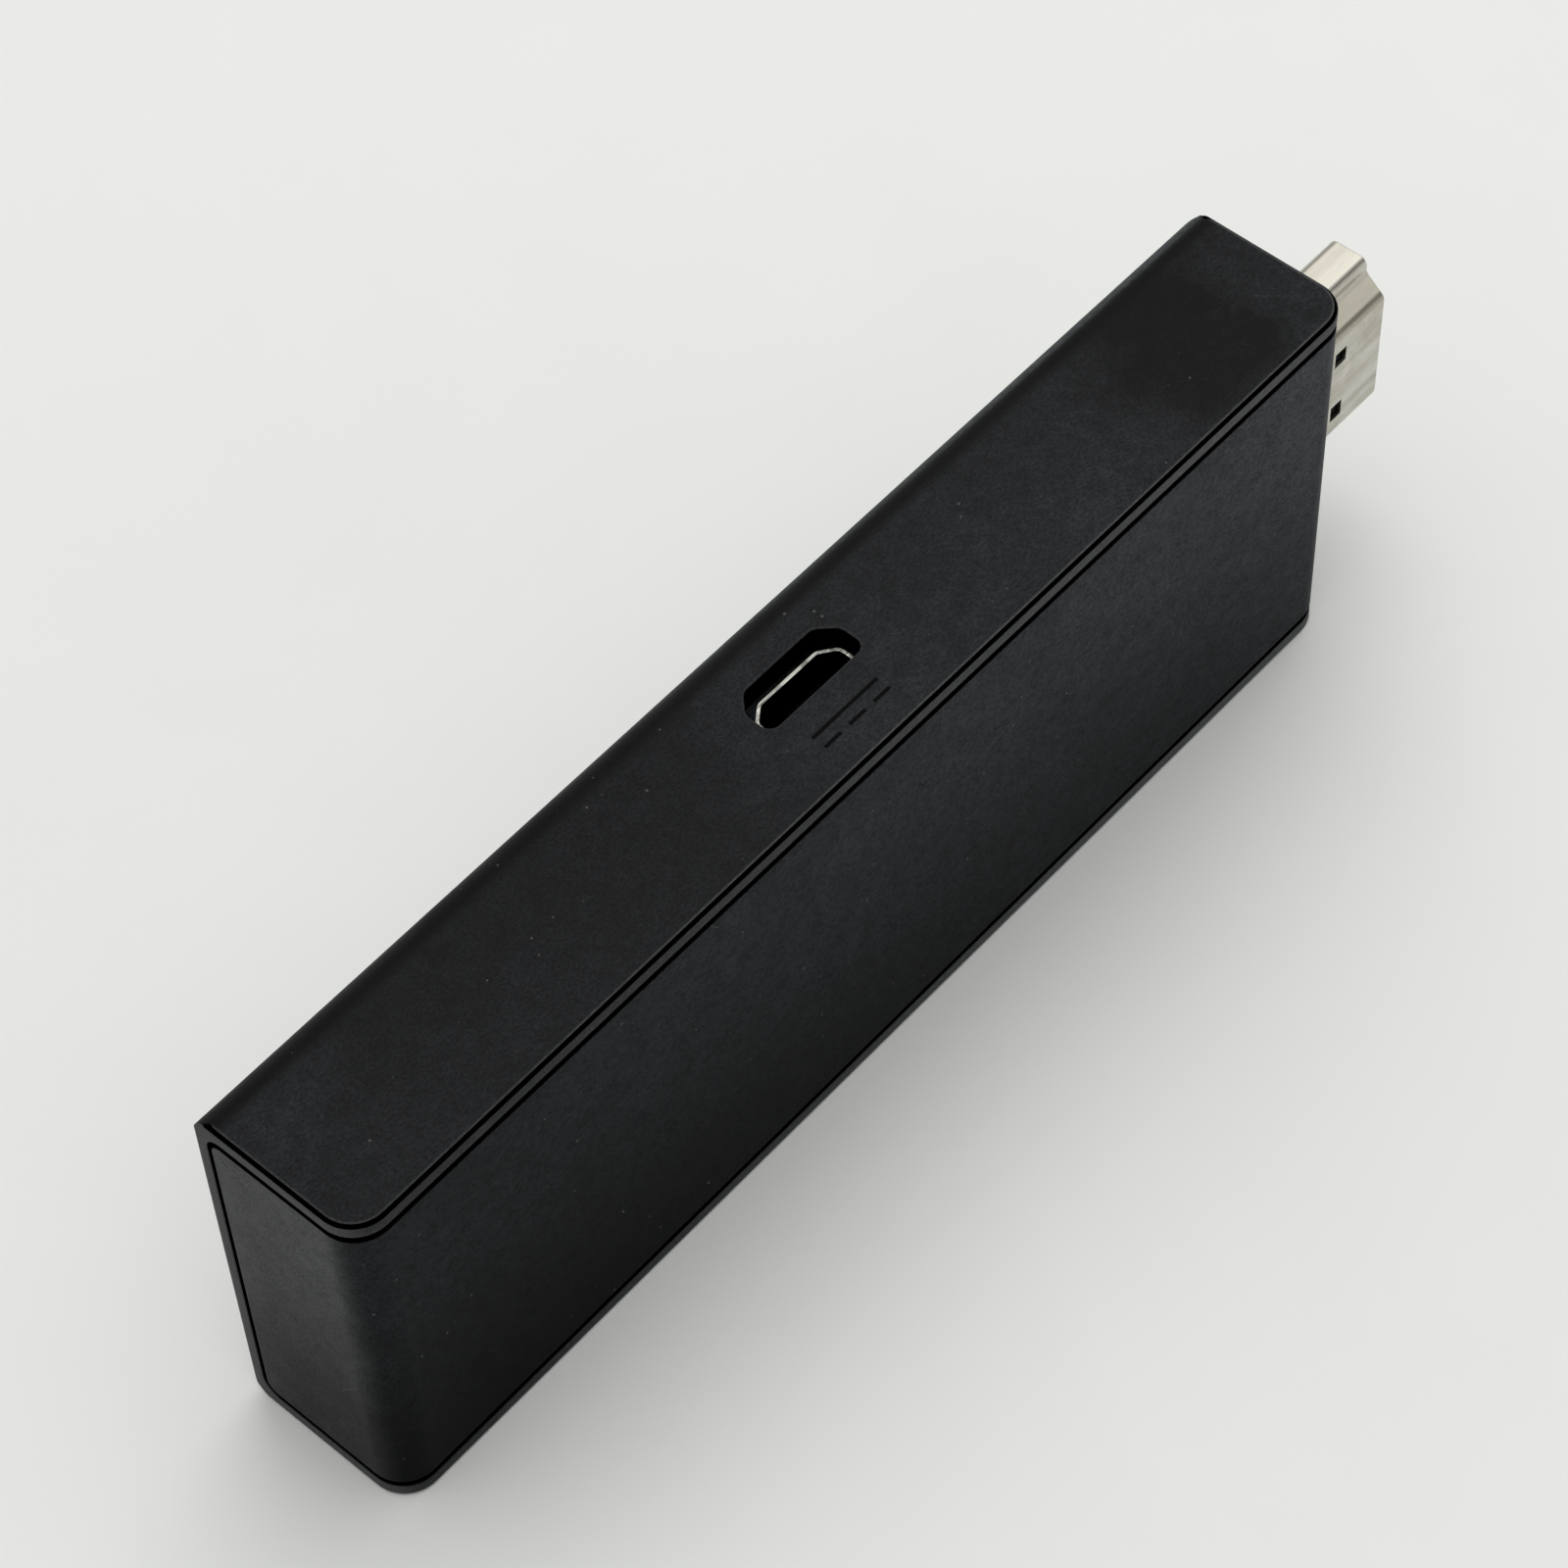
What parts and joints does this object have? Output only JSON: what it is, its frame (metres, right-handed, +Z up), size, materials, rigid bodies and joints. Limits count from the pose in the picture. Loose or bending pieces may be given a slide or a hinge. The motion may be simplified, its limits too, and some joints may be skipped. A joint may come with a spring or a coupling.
{
  "type": "streaming stick",
  "caption": "Slim rectangular television streaming stick with a video plug on one end and a small power socket in one narrow side, shown standing on its other narrow side.",
  "frame": {"origin": "centre of the bounding box's bottom, on the narrow side that the stick stands on", "axes": "+X along the stick towards the video plug, +Y out of the plain front face, -Y out of the back face, +Z up out of the narrow side with the power socket"},
  "size_m": [0.0954, 0.0126, 0.03],
  "materials": {
    "shell_plastic": "fine matte charcoal",
    "cover_plastic": "smooth satin black",
    "plug_steel": "satin nickel plate",
    "socket_steel": "satin nickel plate",
    "insulator_black": "moulded nylon",
    "contact_gold": "gold plate",
    "board_laminate": "green solder mask",
    "chip_mould": "moulded epoxy",
    "ferrite": "grey ferrite",
    "ceramic": "fired ceramic",
    "can_steel": "tin plate",
    "heat_pad_silicone": "soft grey-blue silicone",
    "spreader_aluminium": "plain mill finish",
    "adhesive_tape": "thin black film",
    "antenna_metal": "plated spring alloy"
  },
  "bodies": {
    "root": {"front_shell": "shell_plastic", "rear_cover": "cover_plastic", "plug_shell": "plug_steel", "plug_insulator": "insulator_black", "plug_contacts_front": "contact_gold", "plug_contacts_back": "contact_gold", "power_socket_shell": "socket_steel", "power_socket_insulator": "insulator_black", "power_socket_contacts": "contact_gold", "main_board": "board_laminate", "processor_chip": "chip_mould", "memory_chip": "chip_mould", "flash_chip": "chip_mould", "radio_chip": "chip_mould", "power_chip": "chip_mould", "power_inductors": "ferrite", "board_capacitors": "ceramic", "quartz_crystals": "can_steel", "video_line_filters": "ceramic", "front_can_frame": "can_steel", "front_can_lid": "can_steel", "rear_can_frame": "can_steel", "rear_can_lid": "can_steel", "radio_can_frame": "can_steel", "radio_can_lid": "can_steel", "processor_heat_pad": "heat_pad_silicone", "memory_heat_pad": "heat_pad_silicone", "flash_heat_pad": "heat_pad_silicone", "radio_heat_pad": "heat_pad_silicone", "front_lid_heat_pad": "heat_pad_silicone", "rear_lid_heat_pad": "heat_pad_silicone", "front_heat_spreader": "spreader_aluminium", "rear_heat_spreader": "spreader_aluminium", "front_spreader_tape": "adhesive_tape", "rear_spreader_tape": "adhesive_tape", "antenna_upper": "antenna_metal", "antenna_lower": "antenna_metal"}
  },
  "joints": []
}
